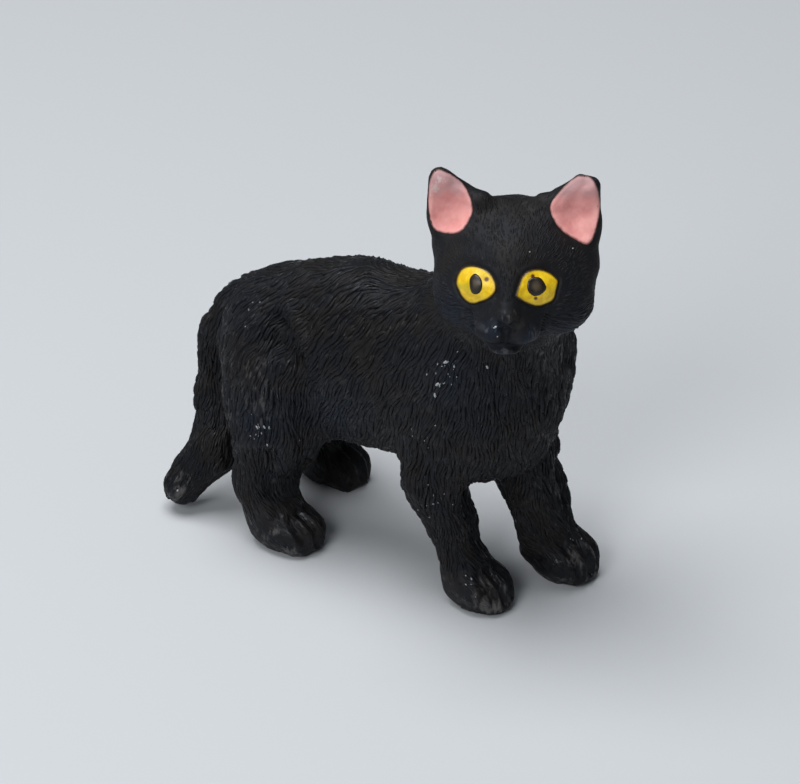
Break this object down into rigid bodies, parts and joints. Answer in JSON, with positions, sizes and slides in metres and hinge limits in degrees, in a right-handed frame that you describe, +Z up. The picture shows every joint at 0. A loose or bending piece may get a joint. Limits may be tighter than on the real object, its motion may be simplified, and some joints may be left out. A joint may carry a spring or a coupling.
{
  "type": "toy kitten figurine",
  "caption": "Small moulded toy kitten that stands with its head turned to its right, painted black with yellow eyes and pink ears.",
  "frame": {"origin": "on the floor, under the middle of the whole outline", "axes": "+X towards the kitten's chest, +Y to the kitten's left, +Z up"},
  "size_m": [0.0448, 0.0196, 0.0451],
  "materials": {
    "coat_paint": "satin black paint over moulded plastic, with fur strokes carved in the mould",
    "eye_paint": "yellow enamel paint, put on with a brush",
    "pupil_paint": "dark brown enamel paint",
    "ear_paint": "pink matt paint in the hollow of the ear"
  },
  "bodies": {
    "root": {"trunk": "coat_paint", "neck": "coat_paint", "tail": "coat_paint", "head": "coat_paint", "muzzle": "coat_paint", "foreleg_right": "coat_paint", "hindleg_right": "coat_paint", "forepaw_right": "coat_paint", "hindpaw_right": "coat_paint", "ear_right": "coat_paint", "eye_right": "eye_paint", "foreleg_left": "coat_paint", "hindleg_left": "coat_paint", "forepaw_left": "coat_paint", "hindpaw_left": "coat_paint", "ear_left": "coat_paint", "eye_left": "eye_paint"}
  },
  "joints": []
}
